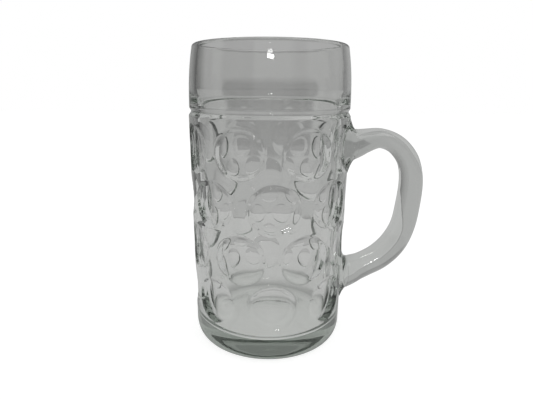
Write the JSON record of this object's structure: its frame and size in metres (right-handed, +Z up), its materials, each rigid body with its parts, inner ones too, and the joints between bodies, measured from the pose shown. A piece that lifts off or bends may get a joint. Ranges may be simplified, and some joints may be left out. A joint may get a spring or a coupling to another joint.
{
  "type": "dimpled glass beer mug",
  "caption": "Tall clear glass beer mug with a smooth rim band, a dimpled wall, a thick base and an ear-shaped side handle.",
  "frame": {"origin": "centre of the foot ring, on the plane that the mug stands on", "axes": "+Z up along the axis of the mug, +X towards the handle, +Y to the left when the handle points away from the viewer"},
  "size_m": [0.1633, 0.1078, 0.2],
  "materials": {
    "clear_glass": "fire-polished pressed soda-lime glass, clear with a faint grey-green tint in the thick base",
    "handle_glass": "smooth pressed soda-lime glass, clear with a faint grey-green tint"
  },
  "bodies": {
    "root": {"glass_body": "clear_glass", "glass_handle": "handle_glass"}
  },
  "joints": []
}
